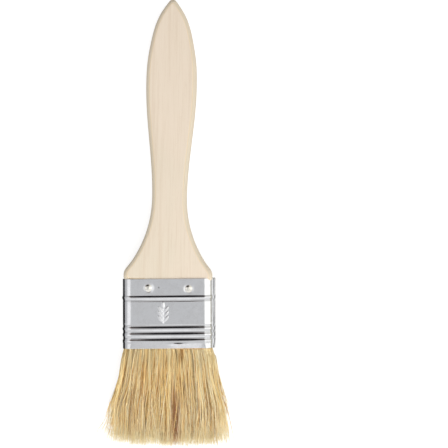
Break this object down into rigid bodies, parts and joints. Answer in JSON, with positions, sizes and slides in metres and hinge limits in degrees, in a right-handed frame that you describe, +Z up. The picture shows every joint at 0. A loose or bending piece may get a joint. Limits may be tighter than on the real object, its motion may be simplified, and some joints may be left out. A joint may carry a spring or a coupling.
{
  "type": "pastry brush",
  "caption": "Flat pastry brush: tapered wooden handle, beaded metal ferrule held by tacks, and fanned natural bristles that flex at the ferrule's mouth.",
  "frame": {"origin": "under the middle of the brush's box, on the surface that the brush lies on", "axes": "+X across the brush towards the ferrule's folded seam, +Y along the brush from the bristles to the handle's tip, +Z up through the thickness, from the back to the front"},
  "size_m": [0.0502, 0.1851, 0.0108],
  "materials": {
    "handle_wood": "pale unfinished hardwood, sanded smooth",
    "tinplate": "bright tin-plated sheet steel",
    "tack_steel": "plain steel, lightly domed heads",
    "resin": "clear amber cured adhesive",
    "spacer_wood": "plain softwood strip",
    "bristle": "natural hog bristle, golden tan with pale flagged tips"
  },
  "bodies": {
    "handle_unit": {"handle": "handle_wood", "ferrule": "tinplate", "ferrule_tacks": "tack_steel", "resin_set": "resin", "spacer_plug": "spacer_wood", "bristle_roots_front": "bristle", "bristle_roots_back": "bristle"},
    "bristle_tuft": {"bristle_lock_front_1": "bristle", "bristle_lock_front_2": "bristle", "bristle_lock_front_3": "bristle", "bristle_lock_front_4": "bristle", "bristle_lock_front_5": "bristle", "bristle_lock_back_1": "bristle", "bristle_lock_back_2": "bristle", "bristle_lock_back_3": "bristle", "bristle_lock_back_4": "bristle", "bristle_lock_back_5": "bristle"}
  },
  "joints": [
    {"name": "bristle_flex", "type": "hinge", "parent": "handle_unit", "child": "bristle_tuft", "pos_m": [0, -0.0539, 0.0054], "axis": [1, 0, 0], "range_deg": [-35, 35], "stiffness_Nm_per_rad": 0.12}
  ]
}
